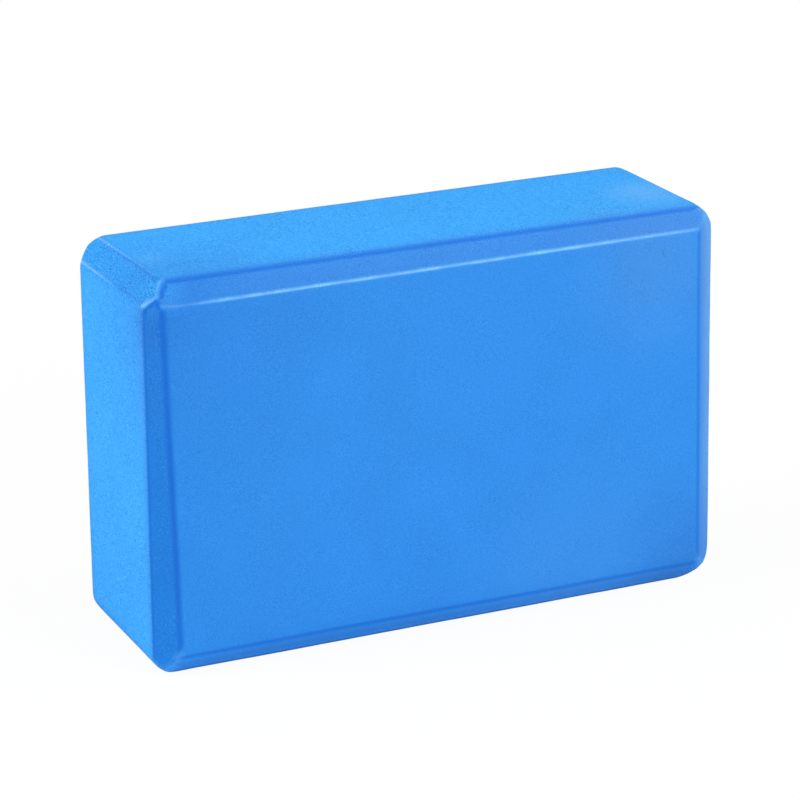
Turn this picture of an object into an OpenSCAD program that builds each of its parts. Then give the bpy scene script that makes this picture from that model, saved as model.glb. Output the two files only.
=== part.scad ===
// Foam exercise block: one bar of closed-cell foam, standing on one of its long narrow sides.
// All twelve edges are bevelled, and each ridge that a bevel leaves is rounded a little.
// The solid is what three bevelled outlines have in common: the front, the end and the plan.
// X runs along the length, Y through the thickness and Z up. The origin is under the middle.

/* [Block] */
// Length of the block, along X
block_length = 230; // [180:1:300]
// Thickness of the block between its two broad faces, along Y
block_thickness = 76; // [50:1:110]
// Height of the block as it stands, along Z
block_height = 150; // [100:1:200]

/* [Bevels round the broad faces] */
// How far the bevel reaches in from the edge of a broad face
face_bevel_width = 7.5; // [4:0.5:14]
// How far the same bevel reaches into the thickness
face_bevel_depth = 7; // [4:0.5:14]
// Radius of the ridges on both sides of this bevel
face_ridge_radius = 2; // [0.5:0.25:5]

/* [Bevels through the thickness] */
// How far the bevel on each of the four outline corners reaches along both sides
corner_bevel = 7; // [4:0.5:14]
// Radius of the ridges on both sides of this bevel
corner_ridge_radius = 4; // [0.5:0.25:7]

/* [Hidden] */
foam_blue = "#3c94ea";

// Narrow flats that make up each rounded ridge
ridge_steps = 6;
// Each outline is extruded this far past the block, so that no two end faces coincide
overrun = 5;
// A ridge is never so round that the two ridges of one bevel meet
least_flat_share = 0.1;

// The largest ridge radius that still leaves some flat on a bevel that faces the angle slope
function widest_ridge(bevel, slope) =
    (1 - least_flat_share) * norm(bevel) / (tan(slope / 2) + tan(45 - slope / 2));

// One rounded ridge, as an arc between the two directions that its neighbours face
function ridge(centre, radius, from_angle, to_angle) = [
    for (step = [0 : ridge_steps])
        let (angle = from_angle + (to_angle - from_angle) * step / ridge_steps)
            centre + radius * [cos(angle), sin(angle)]
];

function reversed(points) = [for (i = [len(points) - 1 : -1 : 0]) points[i]];
function flipped(points, sign) = [for (p = points) [p.x * sign.x, p.y * sign.y]];

// A rectangle about the origin with four bevelled corners and eight rounded ridges
module bevelled_outline(size, bevel, wanted_radius) {
    slope = atan2(bevel.x, bevel.y);
    radius = min(wanted_radius, widest_ridge(bevel, slope));

    // Centres of the two arcs in the upper right corner: one by the side, one by the top
    side_centre = [size.x / 2 - radius, size.y / 2 - bevel.y - radius * tan(slope / 2)];
    top_centre = [size.x / 2 - bevel.x - radius * tan(45 - slope / 2), size.y / 2 - radius];

    corner = concat(
        ridge(side_centre, radius, 0, slope),
        ridge(top_centre, radius, slope, 90)
    );
    polygon(concat(
        corner,
        reversed(flipped(corner, [-1, 1])),
        flipped(corner, [-1, -1]),
        reversed(flipped(corner, [1, -1]))
    ));
}

// Outline of the broad faces, carried through the thickness
module front_form() {
    rotate([90, 0, 0])
        linear_extrude(block_thickness + 2 * overrun, center = true)
            bevelled_outline(
                [block_length, block_height],
                [corner_bevel, corner_bevel],
                corner_ridge_radius
            );
}

// Outline of the two ends, carried along the length
module end_form() {
    rotate([90, 0, 90])
        linear_extrude(block_length + 2 * overrun, center = true)
            bevelled_outline(
                [block_thickness, block_height],
                [face_bevel_depth, face_bevel_width],
                face_ridge_radius
            );
}

// Outline seen from above, carried up the height
module plan_form() {
    linear_extrude(block_height + 2 * overrun, center = true)
        bevelled_outline(
            [block_length, block_thickness],
            [face_bevel_width, face_bevel_depth],
            face_ridge_radius
        );
}

module foam_block() {
    color(foam_blue)
        translate([0, 0, block_height / 2])
            intersection() {
                front_form();
                end_form();
                plan_form();
            }
}

foam_block();
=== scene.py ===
# %% [markdown]
# # A foam exercise block
# The object is one bar of closed-cell EVA foam, 230 mm long, 150 mm high as it stands and 76 mm thick.
# It is sawn from a thick sheet, and then a bevel is run along each of its twelve edges. There are no
# joints, covers or fittings, so nearly all of the work is in three things: how the bevels run and meet,
# how each ridge is rounded, and what the skin of the foam does to the light.
#
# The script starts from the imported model, which gives the size. Everything is in metres, X runs along
# the block, Y through its thickness and Z up, and the block stands on Z = 0.

# %% Load the frame
import math

import bpy
from mathutils import Matrix, Vector


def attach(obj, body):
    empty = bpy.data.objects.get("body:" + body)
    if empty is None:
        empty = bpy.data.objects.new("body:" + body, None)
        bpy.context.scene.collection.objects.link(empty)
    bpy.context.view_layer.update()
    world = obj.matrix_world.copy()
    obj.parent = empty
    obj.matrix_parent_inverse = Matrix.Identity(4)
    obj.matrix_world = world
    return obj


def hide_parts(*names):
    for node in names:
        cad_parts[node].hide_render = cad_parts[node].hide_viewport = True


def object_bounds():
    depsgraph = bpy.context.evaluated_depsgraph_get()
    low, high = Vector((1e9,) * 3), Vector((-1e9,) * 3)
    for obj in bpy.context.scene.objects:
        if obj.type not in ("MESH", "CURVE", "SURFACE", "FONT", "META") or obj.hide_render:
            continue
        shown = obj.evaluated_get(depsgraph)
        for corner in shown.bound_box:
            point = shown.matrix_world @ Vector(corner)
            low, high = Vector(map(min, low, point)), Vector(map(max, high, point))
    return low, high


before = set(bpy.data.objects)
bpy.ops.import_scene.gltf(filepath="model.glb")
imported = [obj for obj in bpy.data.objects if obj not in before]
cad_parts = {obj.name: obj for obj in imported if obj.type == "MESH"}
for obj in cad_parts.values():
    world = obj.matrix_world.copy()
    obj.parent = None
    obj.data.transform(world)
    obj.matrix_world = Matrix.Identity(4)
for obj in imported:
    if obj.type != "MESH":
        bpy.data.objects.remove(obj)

MM = 0.001
cad_low, cad_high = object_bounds()
block_size = cad_high - cad_low
block_middle = (cad_low + cad_high) / 2
print("block, mm:", [round(side / MM, 1) for side in block_size])

# %% [markdown]
# ## The camera
# A small block looks most like itself from well back and through a long lens, so that its edges run
# almost parallel. The camera stands to the left and a little above, and sees the front, the top and the
# left end. It is placed by its own position and turned by three angles, because each of those four
# things can then be changed without the others.

# %% Place the camera
SENSOR_WIDTH = 36.0
LENS_LENGTH = 159.8
CAMERA_PLACE = Vector((-0.5255, -1.1535, 0.5053))
LOOK_TO_THE_RIGHT = math.radians(24.46)
LOOK_DOWN = math.radians(18.57)
CAMERA_TILT = math.radians(-0.82)

look = Vector((
    math.sin(LOOK_TO_THE_RIGHT) * math.cos(LOOK_DOWN),
    math.cos(LOOK_TO_THE_RIGHT) * math.cos(LOOK_DOWN),
    -math.sin(LOOK_DOWN),
))
camera_data = bpy.data.cameras.new("camera")
camera_data.sensor_width = SENSOR_WIDTH
camera_data.lens = LENS_LENGTH
camera = bpy.data.objects.new("camera", camera_data)
camera.matrix_world = (
    Matrix.Translation(CAMERA_PLACE)
    @ look.to_track_quat("-Z", "Y").to_matrix().to_4x4()
    @ Matrix.Rotation(CAMERA_TILT, 4, "Z")
)
bpy.context.scene.collection.objects.link(camera)
bpy.context.scene.camera = camera
print("camera to the middle of the block, m:", round((CAMERA_PLACE - block_middle).length, 3))

# %% [markdown]
# ## Two small helpers
# Every shape rule and every finish below is a tree of nodes. One helper adds a node, sets it up and
# connects it, whatever kind it is. The other turns a colour as it is written in a paint chart, an sRGB
# hex value, into the linear numbers that the renderer works with.

# %% Helpers for nodes and colours
MATH = "ShaderNodeMath"
VECTOR_MATH = "ShaderNodeVectorMath"
COMBINE = "ShaderNodeCombineXYZ"
SEPARATE = "ShaderNodeSeparateXYZ"
MAP_RANGE = "ShaderNodeMapRange"
MIX = "ShaderNodeMix"
NOISE = "ShaderNodeTexNoise"


def add(tree, kind, feeds=(), output=0, **settings):
    """Adds a node. Feeds go to its inputs in order, or by name: a socket is linked, a value is set."""
    node = tree.nodes.new(kind)
    for name, value in settings.items():
        setattr(node, name, value)
    sockets = [socket for socket in node.inputs if socket.enabled]
    if isinstance(feeds, dict):
        by_name = {socket.name: socket for socket in sockets}
        pairs = [(by_name[name], feed) for name, feed in feeds.items()]
    else:
        pairs = zip(sockets, feeds)
    for socket, feed in pairs:
        if isinstance(feed, bpy.types.NodeSocket):
            tree.links.new(feed, socket)
        else:
            socket.default_value = feed
    outputs = [socket for socket in node.outputs if socket.enabled]
    return outputs[output] if outputs else node


def linear(hex_colour):
    """An sRGB hex colour as linear red, green, blue and full alpha."""
    parts = [int(hex_colour[i:i + 2], 16) / 255 for i in (1, 3, 5)]
    return (*[c / 12.92 if c <= 0.04045 else ((c + 0.055) / 1.055) ** 2.4 for c in parts], 1.0)


print("a foam blue as linear light:", [round(c, 3) for c in linear("#3c94ea")])

# %% [markdown]
# ## One cut along one edge
# A bevel is a flat cut across an edge. Its reach is how far it eats into each of the two faces.
# The cuts are made by hand on a soft material, so a reach may run out a little from one end to the
# other, and the ridge on each side is rounded by its own amount.
#
# The shape is made by a rule instead of by chamfering a cube, because a rule can round every ridge by
# a different amount and still leave one smooth closed skin. Around each edge, a point of the plain box
# is drawn towards an inner core until it lies on the cut. How far is one number, the pull: 1 leaves the
# point on the box, and more draws it in. Each cut asks for its own pull, the largest one wins, and a
# smooth maximum instead of a sharp one rounds the ridge between the winner and the next.
#
# A group holds this rule once, and the tree of the block uses it twelve times. Its vectors have one
# number for each axis. Along the edge itself that number is 0, so the same sums work for every edge.

# %% Start the group for one cut
def new_group(name, inputs, outputs):
    """An empty geometry group with named sockets, and its input and output nodes."""
    group = bpy.data.node_groups.new(name, "GeometryNodeTree")
    for socket_name, socket_type in inputs:
        group.interface.new_socket(socket_name, in_out="INPUT", socket_type=socket_type)
    for socket_name, socket_type in outputs:
        group.interface.new_socket(socket_name, in_out="OUTPUT", socket_type=socket_type)
    return group, group.nodes.new("NodeGroupInput").outputs, group.nodes.new("NodeGroupOutput").inputs


FLOAT, VECTOR = "NodeSocketFloat", "NodeSocketVector"
cut, given, result = new_group(
    "one cut",
    [
        ("Pull", FLOAT), ("Outward", VECTOR), ("Place", VECTOR), ("Side", VECTOR),
        ("Reach", VECTOR), ("Run-out", VECTOR), ("Wave", VECTOR), ("Margin", FLOAT),
        ("Ridges", VECTOR), ("Lines", VECTOR), ("Glaze", VECTOR), ("Firmness", FLOAT), ("Fade", FLOAT),
        ("Softness", FLOAT), ("Groove", FLOAT), ("Heat", FLOAT), ("Skin", FLOAT),
        ("Press", FLOAT), ("Shine", FLOAT), ("Bead", FLOAT),
    ],
    [("Pull", FLOAT), ("Skin", FLOAT), ("Press", FLOAT), ("Shine", FLOAT)],
)
print("sockets of one cut:", len(cut.interface.items_tree))

# %% The reach at one place along the edge, as shares of the margin
ALL_AXES = (1, 1, 1)
NO_AXES = (0, 0, 0)

across = add(cut, VECTOR_MATH, (given["Side"],), operation="ABSOLUTE")
along = add(cut, VECTOR_MATH, (ALL_AXES, across), operation="SUBTRACT")
place_along = add(cut, VECTOR_MATH, (given["Place"], along), operation="DOT_PRODUCT")
run_out = add(cut, VECTOR_MATH, (given["Run-out"], place_along), operation="SCALE")
reach = add(cut, VECTOR_MATH, (given["Reach"], run_out), operation="ADD")
reach = add(cut, VECTOR_MATH, (reach, given["Wave"]), operation="ADD")
reach = add(cut, VECTOR_MATH, (reach, across), operation="MULTIPLY")
per_margin = add(cut, MATH, (1.0, given["Margin"]), operation="DIVIDE")
share = add(cut, VECTOR_MATH, (reach, per_margin), operation="SCALE")
print("nodes so far:", len(cut.nodes))

# %% The pull that puts a point on the plane of the cut
# For shares a and b and the outward parts p and q, it is (a q + b p) / (a + b - a b)
outward = add(cut, VECTOR_MATH, (given["Outward"], given["Side"]), operation="MULTIPLY")
share_sum = add(cut, VECTOR_MATH, (share, ALL_AXES), operation="DOT_PRODUCT")
outward_sum = add(cut, VECTOR_MATH, (outward, ALL_AXES), operation="DOT_PRODUCT")
all_products = add(cut, MATH, (share_sum, outward_sum), operation="MULTIPLY")
same_axis = add(cut, VECTOR_MATH, (share, outward), operation="DOT_PRODUCT")
upper = add(cut, MATH, (all_products, same_axis), operation="SUBTRACT")
sum_squared = add(cut, MATH, (share_sum, share_sum), operation="MULTIPLY")
squares = add(cut, VECTOR_MATH, (share, share), operation="DOT_PRODUCT")
twice_product = add(cut, MATH, (sum_squared, squares), operation="SUBTRACT")
lower = add(cut, MATH, (twice_product, -0.5, share_sum), operation="MULTIPLY_ADD")
pull = add(cut, MATH, (upper, lower), operation="DIVIDE")
print("nodes so far:", len(cut.nodes))

# %% [markdown]
# ### Which ridge is near
# Each ridge has a roundness, a line and a glaze of its own, so the group has to know which ridge a point
# is near. "Past" says how far the point lies past each of the two ridges. At a ridge, its own number is
# 0 and the other's is not, so a sum that leaves out a ridge's own number picks the right size, and
# blends from one to the other in between.

# %% The roundness, the line and the glaze of the nearer ridge
past = add(cut, VECTOR_MATH, (outward, across), operation="SUBTRACT")
past = add(cut, VECTOR_MATH, (past, share), operation="ADD")
past = add(cut, VECTOR_MATH, (past, NO_AXES), operation="MAXIMUM")
past_sum = add(cut, VECTOR_MATH, (past, ALL_AXES), operation="DOT_PRODUCT")
nearer = {}
for what in ("Ridges", "Lines", "Glaze"):
    both = add(cut, VECTOR_MATH, (given[what], ALL_AXES), operation="DOT_PRODUCT")
    other = add(cut, VECTOR_MATH, (given[what], past), operation="DOT_PRODUCT")
    other = add(cut, MATH, (other, past_sum), operation="DIVIDE")
    nearer[what] = add(cut, MATH, (both, other), operation="SUBTRACT")
print("nodes so far:", len(cut.nodes))

# %% The smooth maximum
# Near a ridge, the pull changes by about this much for each margin's length along the face
FACE_SLOPE = 0.68

slope = add(cut, MATH, (per_margin, FACE_SLOPE), operation="MULTIPLY")
softness = add(cut, MATH, (nearer["Ridges"], given["Softness"]), operation="ADD")
softness = add(cut, MATH, (softness, slope), operation="MULTIPLY")
smooth_pull = add(cut, MATH, (given["Pull"], pull, softness), operation="SMOOTH_MAX")
print("nodes so far:", len(cut.nodes))

# %% [markdown]
# ### Skin, pressed lines and glazed ridges
# The tool that makes the face bevels is hot, and it leaves a thin skin on them. The skin is thicker
# where the tool was hotter, and a little heat also reaches the faces beside the bevel. Along most
# ridges the tool closes the cells in a narrow line, where the foam turns deeper in colour. On the outer
# side of a bevel that line lies on the bevel itself, just inside the ridge. Other ridges are glazed
# instead, which leaves them smoother, and paler partly as stretched foam and partly as a painted
# highlight. A ridge where two bevels meet is glazed too. Firmness is how hard a line was pressed. It may
# fade along its edge, and then the glaze grows in its place. The group works out how much of each there
# is, and the material reads it later.

# %% Which side of the ridge is the bevel, and where do two bevels meet
# A pull above 1 says that another bevel is here already, and from this pull on the two surely meet
BEVELS_MEET = 1.04

ahead = add(cut, MATH, (pull, given["Pull"]), operation="SUBTRACT")
meeting = add(cut, MAP_RANGE, (given["Pull"], 1.0, BEVELS_MEET, 0.0, 1.0))
alone = add(cut, MATH, (1.0, meeting), operation="SUBTRACT")
inner_part = add(cut, SEPARATE, (past,), output=1)
inner_part = add(cut, MATH, (inner_part, past_sum), operation="DIVIDE")
outer_part = add(cut, MATH, (1.0, inner_part), operation="SUBTRACT")
outer_part = add(cut, MATH, (outer_part, meeting), operation="MAXIMUM")
bare = add(cut, MATH, (1.0, given["Skin"]), operation="SUBTRACT")
print("nodes so far:", len(cut.nodes))

# %% [markdown]
# ### A bead at a corner
# Where the tool dug in at a corner, it pushed up a bead of foam along the ridge between its own bevel
# and the sawn cut, which has no skin yet. A separate strip could be laid there, but it would never join
# the block without a seam. The bead just takes back a little of the pull, so it is part of the skin.

# %% The bead
# Across a bevel, the pull changes by about this much for each margin's length
BEVEL_SLOPE = 1.07
BEAD_WIDTH = 2.4 * MM

bevel_slope = add(cut, MATH, (per_margin, BEVEL_SLOPE), operation="MULTIPLY")
off_ridge = add(cut, MATH, (ahead,), operation="ABSOLUTE")
bead_width = add(cut, MATH, (bevel_slope, BEAD_WIDTH), operation="MULTIPLY")
bead = add(cut, MAP_RANGE, (off_ridge, 0.0, bead_width, 1.0, 0.0), interpolation_type="SMOOTHSTEP")
bead = add(cut, MATH, (bead, meeting), operation="MULTIPLY")
bead = add(cut, MATH, (bead, bare), operation="MULTIPLY")
bead = add(cut, MATH, (bead, bevel_slope), operation="MULTIPLY")
bead = add(cut, MATH, (bead, given["Bead"]), operation="MULTIPLY")
beaded_pull = add(cut, MATH, (smooth_pull, bead), operation="SUBTRACT")
cut.links.new(beaded_pull, result["Pull"])
print("nodes so far:", len(cut.nodes))

# %% The skin on the cut, and the warmed strips on both sides of it
# The change in pull over which one cut takes over from another
SKIN_EDGE = 0.02
# How far the heat reached beside a bevel, and what share of a skin it left there
WARMED_INSIDE, INSIDE_HEAT = 12 * MM, 0.15
WARMED_OUTSIDE, OUTSIDE_HEAT = 6 * MM, 0.4

on_cut = add(cut, MAP_RANGE, (ahead, -SKIN_EDGE, SKIN_EDGE, 0.0, 1.0), interpolation_type="SMOOTHSTEP")
off_cut = add(cut, MATH, (1.0, on_cut), operation="SUBTRACT")
warmed_width = add(cut, MIX, (outer_part, -WARMED_INSIDE, -WARMED_OUTSIDE))
warmed_from = add(cut, MATH, (slope, warmed_width), operation="MULTIPLY")
warmed_share = add(cut, MIX, (outer_part, INSIDE_HEAT, OUTSIDE_HEAT))
warmed_share = add(cut, MATH, (warmed_share, alone), operation="MULTIPLY")
warmed = add(
    cut, MAP_RANGE, (ahead, warmed_from, 0.0, 0.0, warmed_share), interpolation_type="SMOOTHSTEP",
)
skinned = add(cut, MATH, (on_cut, warmed), operation="MAXIMUM")
skin = add(cut, MIX, (skinned, given["Skin"], given["Heat"]))
cut.links.new(skin, result["Skin"])
print("nodes so far:", len(cut.nodes))

# %% How wide and how strong the pressed line is
# A line this wide is pressed as hard as it gets
FULL_LINE = 1.2 * MM

faded = add(cut, MATH, (given["Fade"], place_along), operation="MULTIPLY")
kept = add(cut, MATH, (1.0, faded), operation="SUBTRACT")
firmness = add(cut, MATH, (given["Firmness"], kept), operation="MULTIPLY", use_clamp=True)
line = add(cut, MATH, (nearer["Lines"], alone), operation="MULTIPLY")
groove = add(cut, MATH, (given["Groove"], outer_part), operation="MULTIPLY")
line = add(cut, MATH, (line, groove), operation="MAXIMUM")
pressed = add(cut, MAP_RANGE, (line, 0.0, FULL_LINE, 0.0, firmness))
print("nodes so far:", len(cut.nodes))

# %% The pressed line
# The width is never quite 0, because a fade needs some width to fade over
LEAST_LINE = 0.1 * MM
# On the outer side, the middle of the line lies this share of its width inside the ridge
INSIDE_SHARE = 0.85

line = add(cut, MATH, (line, LEAST_LINE), operation="ADD")
line = add(cut, MATH, (line, bevel_slope), operation="MULTIPLY")
inside = add(cut, MATH, (outer_part, INSIDE_SHARE), operation="MULTIPLY")
inside = add(cut, MATH, (inside, bare), operation="MULTIPLY")
inside = add(cut, MATH, (inside, line), operation="MULTIPLY")
off_line = add(cut, MATH, (ahead, inside), operation="SUBTRACT")
off_line = add(cut, MATH, (off_line,), operation="ABSOLUTE")
near = add(cut, MAP_RANGE, (off_line, 0.0, line, 1.0, 0.0), interpolation_type="SMOOTHSTEP")
press = add(cut, MATH, (near, pressed), operation="MULTIPLY")
earlier = add(cut, MATH, (given["Press"], off_cut), operation="MULTIPLY")
both = add(cut, MATH, (press, earlier), operation="MAXIMUM")
cut.links.new(both, result["Press"])
print("nodes so far:", len(cut.nodes))

# %% The glazed ridge, which lies a little to the bevel's side
GLAZE_WIDTH = 0.7 * MM
GLAZE_INSIDE = 0.3 * MM
# Where two bevels meet, the glaze is wider and weak. A groove there leaves it full on a bare cut, and
# takes it off a cut that has a skin
MEETING_WIDTH, MEETING_GLAZE = 2 * MM, 0.3

grown = add(cut, MATH, (1.0, faded), operation="ADD")
glaze = add(cut, MATH, (nearer["Glaze"], grown), operation="MULTIPLY")
meeting_glaze = add(cut, MAP_RANGE, (given["Groove"], 0.0, FULL_LINE, MEETING_GLAZE, bare))
glaze = add(cut, MIX, (meeting, glaze, meeting_glaze))
glaze_width = add(cut, MATH, (bevel_slope, GLAZE_WIDTH), operation="MULTIPLY")
glaze_inside = add(cut, MATH, (bevel_slope, GLAZE_INSIDE), operation="MULTIPLY")
glaze_inside = add(cut, MATH, (glaze_inside, alone), operation="MULTIPLY")
off_glaze = add(cut, MATH, (ahead, glaze_inside), operation="SUBTRACT")
off_glaze = add(cut, MATH, (off_glaze,), operation="ABSOLUTE")
meeting_width = add(cut, MATH, (bevel_slope, MEETING_WIDTH), operation="MULTIPLY")
glaze_width = add(cut, MIX, (meeting, glaze_width, meeting_width))
shine = add(cut, MAP_RANGE, (off_glaze, 0.0, glaze_width, 1.0, 0.0), interpolation_type="SMOOTHSTEP")
shine = add(cut, MATH, (shine, glaze), operation="MULTIPLY")
unpressed = add(cut, MATH, (1.0, press), operation="SUBTRACT")
shine = add(cut, MATH, (shine, unpressed), operation="MULTIPLY")
earlier = add(cut, MATH, (given["Shine"], off_cut), operation="MULTIPLY")
both = add(cut, MATH, (shine, earlier), operation="MAXIMUM")
cut.links.new(both, result["Shine"])
print("nodes in one cut:", len(cut.nodes))

# %% [markdown]
# ## The twelve cuts and the soft corners
# Each edge is named for the two faces that it joins. The four through cuts run along the thickness and
# are sawn. The eight face cuts frame the two broad faces and are made with the hot tool. A cut has a
# reach, a ridge, a line and a glaze for each of its two directions: the ridge given beside the reach
# along Y is the one that lies that far in along Y. The run-out is what the reach gains towards the right,
# the back or the top, and loses the other way, and the line fades that way too. Heat says how thick a
# skin the tool left.
#
# One bevel modifier could cut all the edges alike, in one step. A table takes longer to fill in, but a
# block that was bevelled by hand has no two edges alike, and that is what makes it look real. The edges
# that face away differ least.
#
# At one corner the tool dug in deeper, pressed a groove between the bevels and left a wide rim round a
# scooped end. Other corners were rubbed round.

# %% The six faces, and what a cut has unless its own row says otherwise
FACE = {
    "left": (-1, 0, 0), "right": (1, 0, 0),
    "front": (0, -1, 0), "back": (0, 1, 0),
    "bottom": (0, 0, -1), "top": (0, 0, 1),
}
EVEN = (0, 0, 0)
USUAL_CUT = dict(run_out=EVEN, glaze=EVEN, firmness=1, fade=0, heat=0)
# These are one number for a whole cut, and not one for each direction
PLAIN = ("firmness", "fade", "heat")
print("faces:", ", ".join(FACE))

# %% The sawn through cuts, in millimetres
THROUGH_CUTS = {
    "left top": dict(
        reach=(8.3, 0, 8.6), run_out=(-0.3, 0, 0.3), ridges=(3.5, 0, 3.5), lines=(0.7, 0, 0.5),
        glaze=(0.7, 0, 0.7), fade=1,
    ),
    "right top": dict(reach=(6.8, 0, 7.8), ridges=(3, 0, 3), lines=(0.3, 0, 0.3)),
    "left bottom": dict(reach=(6, 0, 6.5), run_out=(0, 0, 1.3), ridges=(4, 0, 4), lines=(0.3, 0, 0.3)),
    "right bottom": dict(reach=(9.5, 0, 9), ridges=(8, 0, 8), lines=(0.3, 0, 0.3)),
}
print("through cuts:", ", ".join(THROUGH_CUTS))

# %% The hot face cuts, in millimetres
FACE_CUTS = {
    "top front": dict(
        reach=(0, 6.75, 8.75), run_out=(0, -0.65, -0.5), ridges=(0, 2.5, 2.2), lines=(0, 2.4, 0),
        glaze=(0, 0, 0.9), firmness=0.8, fade=0.05, heat=0.8,
    ),
    "top back": dict(
        reach=(0, 6.6, 7.3), run_out=(0, 0.4, 0), ridges=(0, 3, 3), lines=(0, 1.4, 0),
        glaze=(0, 0, 0.6), heat=0.7,
    ),
    # Its pressed line along Y, on the bottom ridge, is partly painted shade where the block meets the floor
    "bottom front": dict(
        reach=(0, 7.3, 8), ridges=(0, 3, 8), lines=(0, 1.6, 0.9), firmness=0.9, heat=0.15,
    ),
    "bottom back": dict(reach=(0, 7.3, 7.3), ridges=(0, 3, 3), lines=(0, 1, 1), heat=0.7),
    "left front": dict(
        reach=(7.35, 5.8, 0), run_out=(-1.55, -1.6, 0), ridges=(2.5, 2, 0), lines=(1.2, 0.6, 0),
        fade=-0.1, heat=1,
    ),
    "left back": dict(
        reach=(7.6, 6.2, 0), run_out=(0, 1, 0), ridges=(3, 3, 0), lines=(1, 0.5, 0), heat=0.7,
    ),
    "right front": dict(
        reach=(8.5, 6.5, 0), run_out=(0.7, 0.5, 0), ridges=(2.5, 2.5, 0), lines=(0.8, 0.5, 0), heat=0.5,
    ),
    "right back": dict(reach=(7.3, 7.3, 0), ridges=(3, 3, 0), lines=(1, 0.5, 0), heat=0.7),
}
CUTS = {
    name: {**USUAL_CUT, **sizes}
    for name, sizes in (*THROUGH_CUTS.items(), *FACE_CUTS.items())
}
print("cuts in all:", len(CUTS))

# %% What sets the corners apart, in millimetres
# Dig is how much further the face cuts reach there, and scoop how much further the through cut does. Rim
# and rub soften the ridges of the face cuts and of the through cut
USUAL_CORNER = dict(dig=EVEN, scoop=EVEN, rub=0, rim=0, bead=0, groove=0)
CORNER_VECTORS = ("dig", "scoop")
CORNER_LENGTHS = ("rub", "rim", "bead", "groove")
CORNERS = {
    name: {**USUAL_CORNER, **sizes}
    for name, sizes in {
        "left top front": dict(
            dig=(0.7, 2.9, -2.45), scoop=(2.7, 0, 1.1), rim=4, bead=0.5, groove=2.1,
        ),
        "right top front": dict(rub=2.5),
        "right bottom front": dict(dig=(0, -1, 0), rub=3, rim=4),
        "left bottom front": dict(dig=(-1, 0, 0)),
        "left top back": dict(dig=(0, -1, 0), rub=6, rim=4),
        "left bottom back": dict(rub=3),
        "right top back": dict(rub=6),
        "right bottom back": dict(rub=3),
    }.items()
}
print("corners:", len(CORNERS))

# %% The direction in which an edge or a corner lies
def side_of(name):
    """The outward direction of an edge or a corner, the sum of its faces' directions."""
    return tuple(sum(parts) for parts in zip(*(FACE[face] for face in name.split())))


print("the top front edge lies towards:", side_of("top front"))

# %% [markdown]
# ## The whole block as one tree
# The tree makes a plain grid box first, with fine rows near the edges, where all the curvature is, and
# coarse rows across the flats. Then each point is split in two: where it stands on the inner core, and
# how it points outward from there, in shares of the margin between the core and the box. The twelve cuts
# set the pull one after another, and the point goes to core + margin x outward / pull.
#
# Everything that could be changed is an input of the tree, so a block of another size or with other
# bevels needs new numbers only.

# %% Start the tree of the block
block_tree, size, made = new_group(
    "bevelled foam block",
    [
        ("Length", FLOAT), ("Thickness", FLOAT), ("Height", FLOAT), ("Margin", FLOAT),
        ("Fine rows", "NodeSocketInt"), ("Coarse rows", VECTOR),
        ("Wave height", FLOAT), ("Wave length", FLOAT), ("Wobble", FLOAT), ("Wobble length", FLOAT),
        ("Seed", FLOAT), ("Foam", "NodeSocketMaterial"),
        *[(f"{name} {what}", VECTOR) for name in CUTS for what in CUTS[name] if what not in PLAIN],
        *[(f"{name} {what}", FLOAT) for name in CUTS for what in PLAIN],
        *[(f"{name} {what}", VECTOR) for name in CORNERS for what in CORNER_VECTORS],
        *[(f"{name} {what}", FLOAT) for name in CORNERS for what in CORNER_LENGTHS],
    ],
    [("Block", "NodeSocketGeometry")],
)
print("inputs of the block:", len(block_tree.interface.items_tree) - 1)

# %% The grid box, two units wide, with the same rows on both sides of the middle
fine = add(block_tree, COMBINE, (size["Fine rows"],) * 3)
rows = add(block_tree, VECTOR_MATH, (size["Coarse rows"], fine), operation="ADD")
points = add(block_tree, VECTOR_MATH, (rows, (2, 2, 2), ALL_AXES), operation="MULTIPLY_ADD")
counts = add(block_tree, SEPARATE, (points,)).node.outputs
grid = add(block_tree, "GeometryNodeMeshCube", ((2, 2, 2), counts[0], counts[1], counts[2]))
print("nodes so far:", len(block_tree.nodes))

# %% The core and outward parts of each point
full_size = add(block_tree, COMBINE, (size["Length"], size["Thickness"], size["Height"]))
half_size = add(block_tree, VECTOR_MATH, (full_size, 0.5), operation="SCALE")
margin = add(block_tree, COMBINE, (size["Margin"],) * 3)
core_size = add(block_tree, VECTOR_MATH, (half_size, margin), operation="SUBTRACT")
spot = add(block_tree, "GeometryNodeInputPosition")
sign = add(block_tree, VECTOR_MATH, (spot,), operation="SIGN")
distance = add(block_tree, VECTOR_MATH, (spot,), operation="ABSOLUTE")
coarse_share = add(block_tree, VECTOR_MATH, (size["Coarse rows"], rows), operation="DIVIDE")
fine_share = add(block_tree, VECTOR_MATH, (fine, rows), operation="DIVIDE")

inner = add(block_tree, VECTOR_MATH, (distance, coarse_share), operation="DIVIDE")
inner = add(block_tree, VECTOR_MATH, (inner, ALL_AXES), operation="MINIMUM")
inner = add(block_tree, VECTOR_MATH, (inner, sign), operation="MULTIPLY")
core = add(block_tree, VECTOR_MATH, (inner, core_size), operation="MULTIPLY")
outer = add(block_tree, VECTOR_MATH, (distance, coarse_share), operation="SUBTRACT")
outer = add(block_tree, VECTOR_MATH, (outer, fine_share), operation="DIVIDE")
outer = add(block_tree, VECTOR_MATH, (outer, NO_AXES), operation="MAXIMUM")
outward = add(block_tree, VECTOR_MATH, (outer, sign), operation="MULTIPLY")
on_box = add(block_tree, VECTOR_MATH, (outward, margin, core), operation="MULTIPLY_ADD")
place = add(block_tree, VECTOR_MATH, (on_box, half_size), operation="DIVIDE")
print("nodes so far:", len(block_tree.nodes))

# %% [markdown]
# ### Made by hand
# A bevel that is run along by hand wanders a little, as a blade in foam does, and its ridges are never
# equally round. This could be sculpted into the finished mesh, but then it would be lost with every
# change of size. Two slow noises do it inside the rule: one moves the cuts, the other softens and
# sharpens their ridges.

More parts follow.
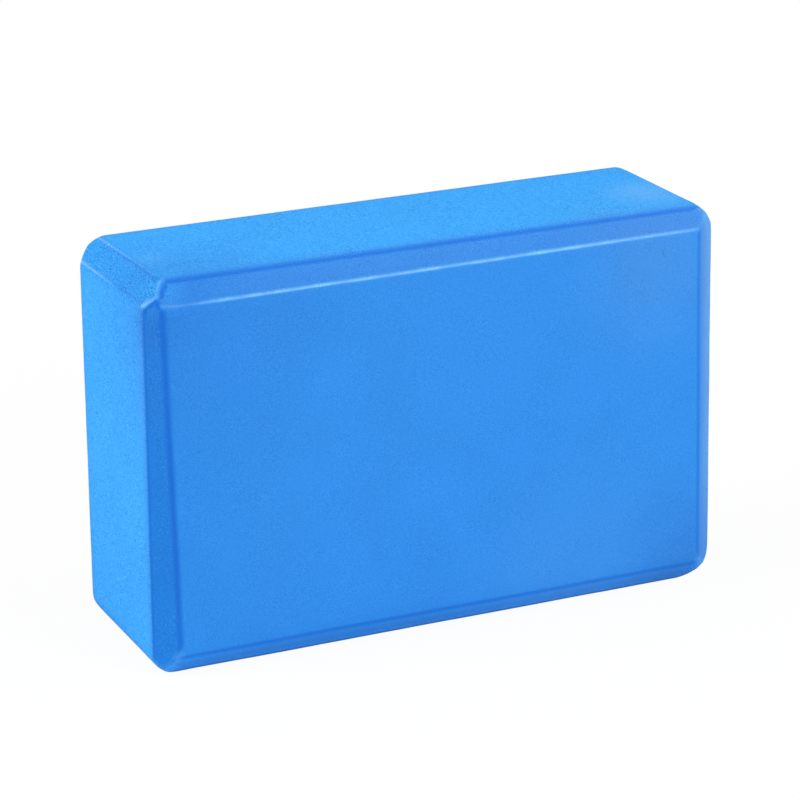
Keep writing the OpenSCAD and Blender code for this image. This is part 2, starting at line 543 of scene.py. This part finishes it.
# %% The wander of the cuts
wave_scale = add(block_tree, MATH, (1.0, size["Wave length"]), operation="DIVIDE")
noise = add(
    block_tree, NOISE,
    {"Vector": on_box, "W": size["Seed"], "Scale": wave_scale, "Detail": 1.0},
    output=1, noise_dimensions="4D",
)
wave = add(block_tree, VECTOR_MATH, (noise, (0.5, 0.5, 0.5)), operation="SUBTRACT")
double_height = add(block_tree, MATH, (size["Wave height"], 2.0), operation="MULTIPLY")
wave = add(block_tree, VECTOR_MATH, (wave, double_height), operation="SCALE")
print("nodes so far:", len(block_tree.nodes))

# %% The wobble of the ridges' roundness
wobble_scale = add(block_tree, MATH, (1.0, size["Wobble length"]), operation="DIVIDE")
noise = add(
    block_tree, NOISE,
    {"Vector": on_box, "W": size["Seed"], "Scale": wobble_scale, "Detail": 1.0},
    noise_dimensions="4D",
)
wobble = add(block_tree, MATH, (noise, 0.5), operation="SUBTRACT")
double_wobble = add(block_tree, MATH, (size["Wobble"], 2.0), operation="MULTIPLY")
wobble = add(block_tree, MATH, (wobble, double_wobble), operation="MULTIPLY")
print("nodes so far:", len(block_tree.nodes))

# %% [markdown]
# ### Corners with a history
# The corners show best how a block was made and used: one was dug into, and others were rubbed round.
# Each could be sculpted by itself, but the rule can do it too. Near a corner it deepens the cuts and
# softens their ridges, and all that this takes is a number that grows from 0 to 1 towards the corner.
# That number is worked out from about where a point ends up, and not from where it stands on the plain
# box, because the sharp edges of the box would show through as creases.

# %% How far out each point ends up, near enough for the corners
# A usual bevel draws a point in by this share of its two outward parts
USUAL_DRAW = 0.7

drawn_by = 1.0
for pair in ((1, 0, 1), (0, 1, 1), (1, 1, 0)):
    both_parts = add(block_tree, VECTOR_MATH, (outer, pair), operation="DOT_PRODUCT")
    both_parts = add(block_tree, MATH, (both_parts, USUAL_DRAW), operation="MULTIPLY")
    drawn_by = add(block_tree, MATH, (drawn_by, both_parts), operation="MAXIMUM")
per_draw = add(block_tree, MATH, (1.0, drawn_by), operation="DIVIDE")
far_out = add(block_tree, VECTOR_MATH, (outward, per_draw), operation="SCALE")
print("nodes so far:", len(block_tree.nodes))

# %% The corners that were dug into, scooped or rubbed
# How far a point lies into a corner runs from 0, where only two sides are near, towards 1 at the tip. A
# scoop deepens all along the end of the through cut instead, towards the broad face. From these shares
# on, the corner's own cuts, its bead and groove, and its scoop are there in full
CORNER_FULL = 0.5
RIDGE_FULL = 0.08
SCOOP_FULL = 0.25

deeper = {"face": wave, "through": wave}
softer = {"face": wobble, "through": wobble}
extra = {"bead": 0.0, "groove": 0.0}
for name in CORNERS:
    towards = add(block_tree, VECTOR_MATH, (far_out, side_of(name)), operation="MULTIPLY")
    eased = add(
        block_tree, MAP_RANGE, (towards,), data_type="FLOAT_VECTOR", interpolation_type="SMOOTHSTEP",
    )
    parts = add(block_tree, SEPARATE, (eased,)).node.outputs
    through_part = add(block_tree, MATH, (parts[0], parts[2]), operation="MULTIPLY")
    into = add(block_tree, MATH, (through_part, parts[1]), operation="MULTIPLY")
    near_corner, on_ridges, in_scoop = (
        add(block_tree, MAP_RANGE, (part, 0.0, full, 0.0, 1.0), interpolation_type="SMOOTHSTEP")
        for part, full in ((into, CORNER_FULL), (into, RIDGE_FULL), (through_part, SCOOP_FULL))
    )
    in_scoop = add(block_tree, MATH, (in_scoop, parts[1]), operation="MULTIPLY")
    for kind, what, share in (("face", "dig", near_corner), ("through", "scoop", in_scoop)):
        more = add(block_tree, VECTOR_MATH, (size[f"{name} {what}"], share), operation="SCALE")
        deeper[kind] = add(block_tree, VECTOR_MATH, (deeper[kind], more), operation="ADD")
    for kind, what in (("face", "rim"), ("through", "rub")):
        feeds = (size[f"{name} {what}"], near_corner, softer[kind])
        softer[kind] = add(block_tree, MATH, feeds, operation="MULTIPLY_ADD")
    for what in extra:
        feeds = (size[f"{name} {what}"], on_ridges, extra[what])
        extra[what] = add(block_tree, MATH, feeds, operation="MULTIPLY_ADD")
print("nodes so far:", len(block_tree.nodes))

# %% [markdown]
# ### Twelve cuts in a row
# Each use of the group takes the pull of the cuts before it, and hands on its own. The through cuts come
# first, as they did on the real block, so the skin of a face bevel runs over the end of a sawn cut. The
# pull after the last through cut is kept, because the material needs to know where those cuts lie.

# %% The twelve cuts, one after another
pull = 1.0
skin = 0.0
press = 0.0
shine = 0.0
for name in CUTS:
    kind = "face" if name in FACE_CUTS else "through"
    feeds = {
        "Pull": pull, "Outward": outward, "Place": place, "Side": side_of(name),
        "Reach": size[f"{name} reach"], "Run-out": size[f"{name} run_out"], "Wave": deeper[kind],
        "Margin": size["Margin"], "Ridges": size[f"{name} ridges"], "Lines": size[f"{name} lines"],
        "Glaze": size[f"{name} glaze"], "Firmness": size[f"{name} firmness"],
        "Fade": size[f"{name} fade"], "Heat": size[f"{name} heat"], "Softness": softer[kind],
        "Skin": skin, "Press": press, "Shine": shine,
    }
    if kind == "face":
        feeds["Groove"] = extra["groove"]
        feeds["Bead"] = extra["bead"]
    pull = add(block_tree, "GeometryNodeGroup", feeds, node_tree=cut)
    if kind == "through":
        through_pull = pull
    skin = pull.node.outputs["Skin"]
    press = pull.node.outputs["Press"]
    shine = pull.node.outputs["Shine"]
print("nodes so far:", len(block_tree.nodes))

# %% [markdown]
# ### What the material needs to know
# Some numbers are stored on every point, because only the shape rule knows them exactly: whether the
# point lies on a through cut, how thick its skin is, whether it belongs to one of the four narrow
# sides, which were sawn, and how near it is to a pressed line or a glazed ridge.

# %% Store those numbers, and put the points in place
# How far a point is turned towards a broad face where the sawn finish starts, and where it is full
SAWN_FROM = 0.97
SAWN_TO = 0.6

through_depth = add(block_tree, MATH, (through_pull, 1.0), operation="SUBTRACT")
towards_front = add(block_tree, SEPARATE, (outer,), output=1)
marks = {
    "sawn": (towards_front, SAWN_FROM, SAWN_TO),
    "through": (through_depth, 0.0, SKIN_EDGE),
    "skin": (skin, 0.0, 1.0),
    "press": (press, 0.0, 1.0),
    "shine": (shine, 0.0, 1.0),
}
geometry = grid
for name, (value, from_value, to_value) in marks.items():
    mark = add(block_tree, MAP_RANGE, (value, from_value, to_value, 0.0, 1.0))
    geometry = add(
        block_tree, "GeometryNodeStoreNamedAttribute", {"Geometry": geometry, "Name": name, "Value": mark},
        data_type="FLOAT", domain="POINT",
    )

per_pull = add(block_tree, MATH, (1.0, pull), operation="DIVIDE")
drawn_in = add(block_tree, VECTOR_MATH, (outward, margin), operation="MULTIPLY")
drawn_in = add(block_tree, VECTOR_MATH, (drawn_in, per_pull), operation="SCALE")
final_spot = add(block_tree, VECTOR_MATH, (core, drawn_in), operation="ADD")
half_height = add(block_tree, MATH, (size["Height"], 0.5), operation="MULTIPLY")
lift = add(block_tree, COMBINE, (0.0, 0.0, half_height))
final_spot = add(block_tree, VECTOR_MATH, (final_spot, lift), operation="ADD")
geometry = add(block_tree, "GeometryNodeSetPosition", {"Geometry": geometry, "Position": final_spot})
geometry = add(block_tree, "GeometryNodeSetShadeSmooth", {"Geometry": geometry})
geometry = add(block_tree, "GeometryNodeRealizeInstances", {"Geometry": geometry})
geometry = add(block_tree, "GeometryNodeSetMaterial", {"Geometry": geometry, "Material": size["Foam"]})
block_tree.links.new(geometry, made["Block"])
print("nodes in the block tree:", len(block_tree.nodes))

# %% [markdown]
# ## The foam
# EVA foam is a soft plastic blown full of closed cells, each a few tenths of a millimetre across. Where
# a blade went through them, the half-open cells scatter the light, so the flats are matt, and the sawn
# sides are a little paler than the split faces. The hot tool melts a thin skin over the cells of a face
# bevel: it is deeper in colour and smoother, and catches pale reflections at a low angle. The pressed
# lines are deepest, and a glazed ridge, where the foam was stretched, is palest, partly as a painted
# highlight.
#
# The material mixes those blues by the numbers stored on the points, then adds what no two blocks
# share: slow clouds in the colour, bleached patches, small nicks and the grain of the cells. It also
# paints in light and shade: a pale sheen on the skin, paler patches where light falls and deeper ones
# where shade falls.

# %% The blues
BROAD_BLUE = "#2685da"
SAWN_BLUE = "#309ded"
THROUGH_BLUE = "#2994e6"
SKIN_BLUE = "#0a75ce"

foam = bpy.data.materials.new("eva_foam_matt_cut")
foam.use_nodes = True
foam_tree = foam.node_tree
foam_tree.nodes.clear()
stored = {name: add(foam_tree, "ShaderNodeAttribute", output=2, attribute_name=name) for name in marks}
object_place = add(foam_tree, "ShaderNodeTexCoord", output=3)
blues = {"sawn": SAWN_BLUE, "through": THROUGH_BLUE, "skin": SKIN_BLUE}
colour = linear(BROAD_BLUE)
for name, blue in blues.items():
    colour = add(foam_tree, MIX, (stored[name], colour, linear(blue)), data_type="RGBA")
print("blues mixed:", BROAD_BLUE, *blues.values())

# %% [markdown]
# ### Clouds, sheen, shade and patches
# Pigment is never stirred quite evenly into foam, and light bleaches it. A pale painted sheen on the
# skin, and painted light and shade on a few parts, stand in for how the lamps and the white surroundings
# fall on the block. All this could be painted as an image, but that would need an unwrapped mesh, and
# its seams would show. Here it is made from places: a noise through the solid gives the clouds, the sheen
# grows along the block, and each patch fades out from a point on the block that is given in millimetres.

# %% Slow clouds in the colour
CLOUD_SIZE = 28 * MM
CLOUD_DEPTH = 0.03
# A noise of a few layers stays mostly between these two values
USUAL_NOISE = (0.3, 0.7)

clouds = add(foam_tree, NOISE, {"Vector": object_place, "Scale": 1 / CLOUD_SIZE, "Detail": 3.0})
cloud_light = add(foam_tree, MAP_RANGE, (clouds, *USUAL_NOISE, 1 - CLOUD_DEPTH, 1 + CLOUD_DEPTH))
print("cloud size, mm:", CLOUD_SIZE / MM)

# %% Painted sheen: the skin turns pale grey, least at the left end and most at the right one
# It stands in for the reflection of the white surroundings on the skin
SKIN_SHEEN = (
    dict(start=-115, full=-65, colour="#8494a6", share=0.09),
    dict(start=107, full=112, colour="#a8c8cc", share=0.27),
)
along_block = add(foam_tree, SEPARATE, (object_place,))
for sheen in SKIN_SHEEN:
    share = add(
        foam_tree, MAP_RANGE, (along_block, sheen["start"] * MM, sheen["full"] * MM, 0.0, sheen["share"]),
        interpolation_type="SMOOTHSTEP",
    )
    share = add(foam_tree, MATH, (share, stored["skin"]), operation="MULTIPLY")
    colour = add(foam_tree, MIX, (share, colour, linear(sheen["colour"])), data_type="RGBA")
print("most painted sheen:", max(sheen["share"] for sheen in SKIN_SHEEN))

# %% Bleached patches, and patches of painted sheen, light and shade, in millimetres
PATCHES = {
    "bleached top": dict(place=(99, -8, 150), radius=24, colour="#b4dcff", share=0.12),
    "bleached top by the dug corner": dict(place=(-101, -6, 150), radius=12, colour="#b4dcff", share=0.06),
    # Painted sheen: the upper right of the front turns pale grey, as the white surroundings reflect there
    "sheen upper right": dict(place=(88, -38, 130), radius=48, colour="#8494a6", share=0.08),
    # Painted light: the end of the sawn cut by the dug corner is made paler, as the lamp lights it
    "painted light on the end of the sawn cut": dict(place=(-109, -31, 144), radius=14, colour="#3cacf6", share=0.5),
    # Painted shade: the top of the left bevel is darker in the corner where the bevels meet
    "painted shade on the top of the left bevel": dict(place=(-112, -36, 136), radius=16, colour="#0a62be", share=0.5),
    # Painted light: the lower front bevel is paler and greyer, as light and reflection from the floor make
    # it
    "painted floor light on the lower bevel": dict(place=(60, -35, 3), radius=75, colour="#5f9fd8", share=0.12),
    # Painted shade: the front is darker towards its upper left and lower right corners, where less light
    # falls
    "painted shade upper left": dict(place=(-98, -38, 132), radius=70, colour="#2272c9", share=0.4),
    "painted shade lower right": dict(place=(104, -38, 10), radius=45, colour="#2473c6", share=0.6),
}


def near_place(place, radius, share):
    """A share that is full at a place and fades to nothing at the radius, both in millimetres."""
    away = add(foam_tree, VECTOR_MATH, (object_place, [part * MM for part in place]), operation="DISTANCE")
    ranges = (away, 0.0, radius * MM, share, 0.0)
    return add(foam_tree, MAP_RANGE, ranges, interpolation_type="SMOOTHSTEP")


for patch in PATCHES.values():
    share = near_place(patch["place"], patch["radius"], patch["share"])
    colour = add(foam_tree, MIX, (share, colour, linear(patch["colour"])), data_type="RGBA")
print("patches:", len(PATCHES))

# %% [markdown]
# ### Lines and ridges
# A pressed line and a glazed ridge are about a millimetre wide and follow the cuts exactly. The pale
# colour of a glazed ridge is partly stretched foam and partly a painted highlight. Painted lines would
# have to be drawn along each cut by hand. The shape rule has already stored how near every point is to
# one, so a plain mix of colours draws them all. They come after the painted sheen and the patches, so
# that these hardly reach a sunken line.

# %% The pressed lines, which the painted sheen and the patches don't reach
PRESSED_BLUE = "#0063c6"

colour = add(foam_tree, MIX, (stored["press"], colour, linear(PRESSED_BLUE)), data_type="RGBA")
print("deepest blue:", PRESSED_BLUE)

# %% The glazed ridges: stretched foam and a painted highlight, uneven along their length
GLAZE_HIGHLIGHT_BLUE = "#58a8ef"
GLAZE_BREAKS = 9 * MM
# Between these two values of its noise, the glaze grows from the least to the most
BREAK_NOISE = (0.36, 0.6)
BREAK_SHARES = (0.65, 1.2)
# Where the glaze and its painted highlight are fainter, in millimetres
FAINT = (
    dict(place=(-100, -38, 141.5), radius=14, share=0.9),
    dict(place=(-106.5, -38, 141), radius=5, share=0.8),
    dict(place=(-107, -32, 148.5), radius=8, share=0.6),
    dict(place=(-115, -12, 142), radius=18, share=0.8),
    dict(place=(92, -38, 141), radius=34, share=0.35),
)

breaks = add(foam_tree, NOISE, {"Vector": object_place, "Scale": 1 / GLAZE_BREAKS, "Detail": 2.0})
breaks = add(foam_tree, MAP_RANGE, (breaks, *BREAK_NOISE, *BREAK_SHARES))
glaze_and_highlight = add(foam_tree, MATH, (stored["shine"], breaks), operation="MULTIPLY")
for faint in FAINT:
    clear = add(foam_tree, MATH, (1.0, near_place(**faint)), operation="SUBTRACT")
    glaze_and_highlight = add(foam_tree, MATH, (glaze_and_highlight, clear), operation="MULTIPLY")
colour = add(foam_tree, MIX, (glaze_and_highlight, colour, linear(GLAZE_HIGHLIGHT_BLUE)), data_type="RGBA")
print("glaze breaks up every, mm:", round(GLAZE_BREAKS / MM, 1))

# %% [markdown]
# ### Nicks
# The front has a few nicks that are half a millimetre wide. To cut them into the mesh, its rows would
# have to be finer than that all over, so the material draws them instead, as a darker colour and a dent
# in the relief. A nick is a short groove, and how dark it is depends on how far a point is from a piece
# of a line.

# %% Small nicks in the front, in millimetres
NICKS = (
    dict(start=(90.1, -38, 136.0), end=(90.3, -38, 134.4), width=0.5, depth=0.2),
    dict(start=(90.4, -38, 134.2), end=(91.6, -38, 132.8), width=0.5, depth=0.15),
    dict(start=(95.5, -38, 131.3), end=(97.2, -38, 128.9), width=0.5, depth=0.07),
    dict(start=(81.5, -38, 125.1), end=(81.6, -38, 125.2), width=0.8, depth=0.15),
    dict(start=(-54.8, -38, 130.1), end=(-54.0, -38, 130.0), width=1.2, depth=0.06),
    dict(start=(-71.2, -38, 41.2), end=(-70.8, -38, 40.6), width=1.2, depth=0.06),
)
nicked = 0.0
for nick in NICKS:
    start = Vector(nick["start"]) * MM
    run = Vector(nick["end"]) * MM - start
    from_start = add(foam_tree, VECTOR_MATH, (object_place, start), operation="SUBTRACT")
    along_run = add(foam_tree, VECTOR_MATH, (from_start, run / run.length_squared), operation="DOT_PRODUCT")
    along_run = add(foam_tree, MAP_RANGE, (along_run, 0.0, 1.0, 0.0, 1.0))
    nearest = add(foam_tree, VECTOR_MATH, (run, along_run), operation="SCALE")
    away = add(foam_tree, VECTOR_MATH, (from_start, nearest), operation="DISTANCE")
    groove = add(
        foam_tree, MAP_RANGE, (away, 0.0, nick["width"] * MM, nick["depth"], 0.0),
        interpolation_type="SMOOTHSTEP",
    )
    nicked = add(foam_tree, MATH, (nicked, groove), operation="ADD")
print("nicks:", len(NICKS))

# %% [markdown]
# ### The grain of the cells
# Foam looks grainy because a cut opens its cells. The grain is strongest where a saw tore them open, and
# weakest in the pressed lines, where they are closed. Real cells are about 0.3 mm wide. They are drawn
# at 0.6 mm, the finest that still shows from here. A cell that stands up is lighter and a little less
# blue, and one that lies deep is darker and bluer.
#
# A million small dents in the mesh would be the long way to make it. One noise through the solid gives
# the same grain on every side, with no seam. Such a noise goes flat where it meets its own grid, as on a
# top that is a whole number of cells high, so the cells are moved up by part of a cell.

# %% The cells and how strongly they show
CELL_SIZE = 0.6 * MM
OFF_THE_GRID = (0, 0, 0.4 * CELL_SIZE)
CELL_NOISE = (0.25, 0.75)
CELL_DEPTH = 0.012 * MM
CELL_LIGHT = 0.042
CELL_PALE = (0.0075, 0.0135, 0.002)
NICK_RELIEF = 20.0
GRAIN_PATCH = 9 * MM
GRAIN_SHARES = (0.5, 1.2)
GRAIN_ON = {"sawn": 4.0, "through": 6.2, "skin": 1.6, "press": 0.4}

cell_place = add(foam_tree, VECTOR_MATH, (object_place, OFF_THE_GRID), operation="ADD")
cells = add(
    foam_tree, NOISE,
    {"Vector": cell_place, "Scale": 1 / CELL_SIZE, "Detail": 1.0, "Roughness": 0.6},
)
patchy = add(foam_tree, NOISE, {"Vector": object_place, "Scale": 1 / GRAIN_PATCH, "Detail": 2.0})
patchy = add(foam_tree, MAP_RANGE, (patchy, *USUAL_NOISE, *GRAIN_SHARES))
grain = 1.0
for name, amount in GRAIN_ON.items():
    grain = add(foam_tree, MIX, (stored[name], grain, amount))
grain = add(foam_tree, MATH, (grain, patchy), operation="MULTIPLY")
height = add(foam_tree, MAP_RANGE, (cells, *CELL_NOISE, -1.0, 1.0), clamp=False)
height = add(foam_tree, MATH, (height, grain), operation="MULTIPLY")
cell_light = add(foam_tree, MATH, (height, CELL_LIGHT, cloud_light), operation="MULTIPLY_ADD")
cell_light = add(foam_tree, MATH, (cell_light, nicked), operation="SUBTRACT")
cell_pale = add(foam_tree, VECTOR_MATH, (CELL_PALE, height), operation="SCALE")
colour = add(foam_tree, VECTOR_MATH, (colour, cell_light, cell_pale), operation="MULTIPLY_ADD")
height = add(foam_tree, MATH, (nicked, -NICK_RELIEF, height), operation="MULTIPLY_ADD")
print("cell size as drawn, mm:", CELL_SIZE / MM)

# %% [markdown]
# ### Gloss and relief
# Soft EVA is mostly gas, so it bends light less than solid plastic does, with an IOR of about 1.3. Open
# cells scatter what they reflect, so the flats are rough. The melted skin and the glazed ridges are
# smoother, and catch the lamps. The cells are too shallow to need real depth, so the noise that colours
# them also tilts the light, as a bump.

# %% The finished foam
FOAM_IOR = 1.3
FLAT_ROUGHNESS = 0.75
SKIN_ROUGHNESS = 0.33
PRESSED_ROUGHNESS = 0.6
RIDGE_ROUGHNESS = 0.25

roughness = add(foam_tree, MIX, (stored["skin"], FLAT_ROUGHNESS, SKIN_ROUGHNESS))
roughness = add(foam_tree, MIX, (stored["press"], roughness, PRESSED_ROUGHNESS))
roughness = add(foam_tree, MIX, (glaze_and_highlight, roughness, RIDGE_ROUGHNESS))
relief = add(foam_tree, "ShaderNodeBump", {"Strength": 1.0, "Distance": CELL_DEPTH, "Height": height})
surface = add(
    foam_tree, "ShaderNodeBsdfPrincipled",
    {"Base Color": colour, "Roughness": roughness, "IOR": FOAM_IOR, "Normal": relief},
)
add(foam_tree, "ShaderNodeOutputMaterial", {"Surface": surface})
print("nodes in the foam material:", len(foam_tree.nodes))

# %% [markdown]
# ## Make the block
# The tree is hung on an empty mesh as a modifier. Its inputs are set before the first evaluation, by
# the identifier of each socket, and the result is copied out as a plain mesh, so that nothing is left
# to evaluate later. The modifier and its host are then thrown away.

# %% The sizes that the tree is given
# The core lies this far in from every face, further than any cut reaches
MARGIN = 14 * MM
# Rows of the grid on each side of the middle, in the margin and across the core
FINE_ROWS = 36
COARSE_ROWS = (25, 8, 17)
WAVE_HEIGHT = 0.25 * MM
WAVE_LENGTH = 35 * MM
WOBBLE = 0.7 * MM
WOBBLE_LENGTH = 14 * MM
SEED = 3.0

values = {
    "Length": block_size.x, "Thickness": block_size.y, "Height": block_size.z, "Margin": MARGIN,
    "Fine rows": FINE_ROWS, "Coarse rows": COARSE_ROWS,
    "Wave height": WAVE_HEIGHT, "Wave length": WAVE_LENGTH,
    "Wobble": WOBBLE, "Wobble length": WOBBLE_LENGTH, "Seed": SEED, "Foam": foam,
}
for name, sizes in CUTS.items():
    for what in ("reach", "run_out", "ridges", "lines"):
        values[f"{name} {what}"] = [length * MM for length in sizes[what]]
    values[f"{name} glaze"] = [float(share) for share in sizes["glaze"]]
    for what in PLAIN:
        values[f"{name} {what}"] = float(sizes[what])
for name, sizes in CORNERS.items():
    for what in CORNER_VECTORS:
        values[f"{name} {what}"] = [length * MM for length in sizes[what]]
    for what in CORNER_LENGTHS:
        values[f"{name} {what}"] = sizes[what] * MM
print("values for the tree:", len(values))

# %% Shape the block, and keep the result as a plain mesh
host = bpy.data.objects.new("foam_block_host", bpy.data.meshes.new("foam_block_host"))
bpy.context.scene.collection.objects.link(host)
shaping = host.modifiers.new("shape", "NODES")
shaping.node_group = block_tree
for item in block_tree.interface.items_tree:
    if item.in_out == "INPUT":
        shaping[item.identifier] = values[item.name]
host.update_tag()

evaluated = host.evaluated_get(bpy.context.evaluated_depsgraph_get())
block_mesh = bpy.data.meshes.new_from_object(evaluated)
block_mesh.name = "foam_bar"
bpy.data.objects.remove(host)
block = bpy.data.objects.new("foam_bar", block_mesh)
bpy.context.scene.collection.objects.link(block)
block_mesh.calc_loop_triangles()
print("block mesh:", len(block_mesh.vertices), "points and", len(block_mesh.loop_triangles), "triangles")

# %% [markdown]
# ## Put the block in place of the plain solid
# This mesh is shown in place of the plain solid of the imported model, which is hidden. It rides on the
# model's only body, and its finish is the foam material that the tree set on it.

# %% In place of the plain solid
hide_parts("foam_block")
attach(block, "root")
print("the foam block is shown by:", block.name)

# %% [markdown]
# ## Floor and backdrop
# The block stands on matt white paper, as in a small studio. There the paper curves up behind the
# object, so that no edge shows. A flat sheet does the same here, because it is so large that it runs
# into surroundings of the same white. Paper that is lit like the block never looks quite white, so
# wherever the camera or a reflection sees it directly, most of it is shown as plain white. The rest is
# its own shading, which keeps the shadow under the block, and fades out away from it.

# %% A flat sheet of paper
PAPER_SIDE = 12.0

half_side = PAPER_SIDE / 2
paper_corners = [(x * half_side, y * half_side, 0) for x, y in ((-1, -1), (1, -1), (1, 1), (-1, 1))]
paper_mesh = bpy.data.meshes.new("paper")
paper_mesh.from_pydata(paper_corners, [], [(0, 1, 2, 3)])
paper = bpy.data.objects.new("paper", paper_mesh)
bpy.context.scene.collection.objects.link(paper)
print("paper side, m:", PAPER_SIDE)

# %% Paper that is mostly plain white where it is seen directly
PAPER_WHITE = "#f0f0f0"
SHADOW_SEEN = 0.05
SHADOW_REFLECTED = 0.6
SHADOW_FADES_FROM = 0.15
SHADOW_FADES_TO = 0.6
WHITE = (1, 1, 1, 1)

matt_paper = bpy.data.materials.new("matt_white_paper")
matt_paper.use_nodes = True
paper_tree = matt_paper.node_tree
paper_tree.nodes.clear()
paper_place = add(paper_tree, "ShaderNodeTexCoord", output=3)
from_middle = add(paper_tree, VECTOR_MATH, (paper_place,), operation="LENGTH")
ray = add(paper_tree, "ShaderNodeLightPath").node.outputs
reflected = add(paper_tree, MATH, (ray["Is Glossy Ray"], ray["Is Transmission Ray"]), operation="MAXIMUM")
white_share = 0.0
for seen, shadow in ((ray["Is Camera Ray"], SHADOW_SEEN), (reflected, SHADOW_REFLECTED)):
    white = add(
        paper_tree, MAP_RANGE, (from_middle, SHADOW_FADES_FROM, SHADOW_FADES_TO, 1 - shadow, 1.0),
        interpolation_type="SMOOTHSTEP",
    )
    white_share = add(paper_tree, MATH, (white, seen, white_share), operation="MULTIPLY_ADD")
lit = add(paper_tree, "ShaderNodeBsdfDiffuse", {"Color": linear(PAPER_WHITE)})
plain = add(paper_tree, "ShaderNodeEmission", {"Color": WHITE, "Strength": 1.0})
mixed = add(paper_tree, "ShaderNodeMixShader", (white_share, lit, plain))
add(paper_tree, "ShaderNodeOutputMaterial", {"Surface": mixed})
paper_mesh.materials.append(matt_paper)
print("share of the shadow that the camera sees:", SHADOW_SEEN)

# %% White surroundings that give a weaker light
SURROUND_LIGHT = 0.45

world = bpy.data.worlds.new("studio")
bpy.context.scene.world = world
world.use_nodes = True
world_tree = world.node_tree
world_tree.nodes.clear()
ray = add(world_tree, "ShaderNodeLightPath").node.outputs
seen = add(world_tree, MATH, (ray["Is Glossy Ray"], ray["Is Transmission Ray"]), operation="MAXIMUM")
seen = add(world_tree, MATH, (seen, ray["Is Camera Ray"]), operation="MAXIMUM")
strength = add(world_tree, MAP_RANGE, (seen, 0.0, 1.0, SURROUND_LIGHT, 1.0))
surround = add(world_tree, "ShaderNodeBackground", {"Color": WHITE, "Strength": strength})
add(world_tree, "ShaderNodeOutputWorld", {"Surface": surround})
print("light from all around:", SURROUND_LIGHT)

# %% [markdown]
# ## The lamps
# A large soft box hangs high on the left, and makes the top and the left end the brightest. A smaller
# one stands to the front right, lifts the front and draws the thin bright line along its upper ridge.
# A lamp's power is worked out from the light that should fall on a surface that faces it, where 1
# shows a colour as it is written.

# %% Set up the lamps
def softbox(name, towards, distance, width, light):
    """A square lamp in a direction from the block's middle, with the light it gives there."""
    data = bpy.data.lights.new(name, "AREA")
    data.shape = "SQUARE"
    data.size = width
    data.energy = light * (math.pi * distance) ** 2
    lamp = bpy.data.objects.new(name, data)
    direction = Vector(towards).normalized()
    lamp.location = block_middle + direction * distance
    lamp.rotation_euler = (-direction).to_track_quat("-Z", "Y").to_euler()
    bpy.context.scene.collection.objects.link(lamp)
    print(name, "power, W:", round(data.energy, 1))


softbox("key", towards=(-0.78, 0.1, 0.62), distance=2.0, width=1.0, light=0.65)
softbox("fill", towards=(0.375, -0.845, 0.385), distance=2.0, width=0.35, light=0.5)
softbox("overhead", towards=(0.39, -0.32, 0.86), distance=2.0, width=0.9, light=0.15)
bpy.context.scene.view_settings.view_transform = "Standard"
